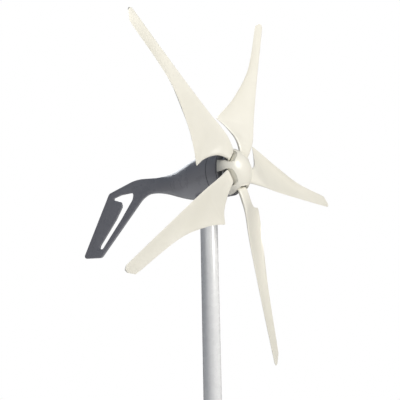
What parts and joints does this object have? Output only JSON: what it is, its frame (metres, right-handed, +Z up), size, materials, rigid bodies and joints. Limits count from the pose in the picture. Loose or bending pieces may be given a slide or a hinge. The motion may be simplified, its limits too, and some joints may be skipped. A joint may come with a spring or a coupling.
{
  "type": "small wind turbine",
  "caption": "Small horizontal-axis wind turbine: curved nylon blades and a domed spinner on a finned nacelle that yaws on a flanged steel mast with a base plate.",
  "frame": {"origin": "centre of the base plate's underside, on the yaw axis", "axes": "+Z up along the mast, +X upwind from the tail towards the rotor, along the shaft axis, +Y to the right seen from the front"},
  "size_m": [0.7446, 1.1847, 1.8173],
  "materials": {
    "ivory_nylon": "glossy moulded ivory nylon",
    "slate_paint": "glossy slate grey paint on cast aluminium",
    "white_paint": "glossy off-white paint on steel",
    "cast_aluminium": "bare cast and turned aluminium",
    "zinc_steel": "bright zinc plated steel",
    "bearing_steel": "ground bearing steel",
    "bearing_cage": "brass cage with steel balls",
    "core_steel": "stacked electrical steel",
    "nickel": "nickel plated magnet",
    "copper": "varnished copper wire",
    "brass": "turned brass",
    "carbon": "pressed carbon",
    "black_rubber": "black rubber",
    "phenolic": "brown phenolic moulding"
  },
  "bodies": {
    "tower": {"base_plate": "white_paint", "mast_tube": "white_paint", "cable_grommet": "black_rubber", "mast_flange": "white_paint", "flange_bolt_1": "zinc_steel", "flange_bolt_2": "zinc_steel", "flange_bolt_3": "zinc_steel", "flange_bolt_4": "zinc_steel", "flange_nut_1": "zinc_steel", "flange_nut_2": "zinc_steel", "flange_nut_3": "zinc_steel", "flange_nut_4": "zinc_steel", "yaw_shaft": "cast_aluminium", "yaw_shaft_nut": "zinc_steel", "yaw_lower_inner_ring": "bearing_steel", "yaw_upper_inner_ring": "bearing_steel", "slip_ring_sleeve": "phenolic", "slip_ring_1": "brass", "slip_ring_2": "brass", "slip_ring_3": "brass"},
    "head": {"nacelle_body": "slate_paint", "generator_ring": "slate_paint", "front_cover": "slate_paint", "rear_bracket": "cast_aluminium", "stator_core": "core_steel", "stator_windings": "copper", "shaft_seal": "black_rubber", "front_bearing_outer_ring": "bearing_steel", "rear_bearing_outer_ring": "bearing_steel", "yaw_lower_outer_ring": "bearing_steel", "yaw_upper_outer_ring": "bearing_steel", "yaw_seal": "black_rubber", "brush_holder": "phenolic", "brush_1": "carbon", "brush_2": "carbon", "brush_3": "carbon"},
    "rotor": {"spinner": "ivory_nylon", "blade_1": "ivory_nylon", "blade_2": "ivory_nylon", "blade_3": "ivory_nylon", "blade_4": "ivory_nylon", "blade_5": "ivory_nylon", "hub_plate": "cast_aluminium", "clamp_plate": "zinc_steel", "blade_nut_1": "zinc_steel", "blade_nut_2": "zinc_steel", "blade_nut_3": "zinc_steel", "blade_nut_4": "zinc_steel", "blade_nut_5": "zinc_steel", "shaft_nut": "zinc_steel", "main_shaft": "bearing_steel", "shaft_key": "zinc_steel", "rotor_core": "core_steel", "magnet_ring": "nickel", "front_bearing_inner_ring": "bearing_steel", "rear_bearing_inner_ring": "bearing_steel"},
    "front_balls": {"front_bearing_cage": "bearing_cage"},
    "rear_balls": {"rear_bearing_cage": "bearing_cage"},
    "yaw_balls": {"yaw_lower_cage": "bearing_cage", "yaw_upper_cage": "bearing_cage"}
  },
  "joints": [
    {"name": "yaw", "type": "hinge", "parent": "tower", "child": "head", "pos_m": [0, 0, 1.2], "axis": [0, 0, 1], "continuous": true},
    {"name": "rotor_spin", "type": "hinge", "parent": "head", "child": "rotor", "pos_m": [0, 0, 1.2], "axis": [-1, 0, 0], "continuous": true},
    {"name": "front_ball_roll", "type": "hinge", "parent": "head", "child": "front_balls", "pos_m": [0, 0, 1.2], "axis": [-1, 0, 0], "continuous": true},
    {"name": "rear_ball_roll", "type": "hinge", "parent": "head", "child": "rear_balls", "pos_m": [0, 0, 1.2], "axis": [-1, 0, 0], "continuous": true},
    {"name": "yaw_ball_roll", "type": "hinge", "parent": "tower", "child": "yaw_balls", "pos_m": [0, 0, 1.2], "axis": [0, 0, 1], "continuous": true}
  ],
  "couplings": [
    {"joint": "front_ball_roll", "follows": "rotor_spin", "ratio": 0.3806},
    {"joint": "rear_ball_roll", "follows": "rotor_spin", "ratio": 0.3968},
    {"joint": "yaw_ball_roll", "follows": "yaw", "ratio": 0.5847}
  ]
}
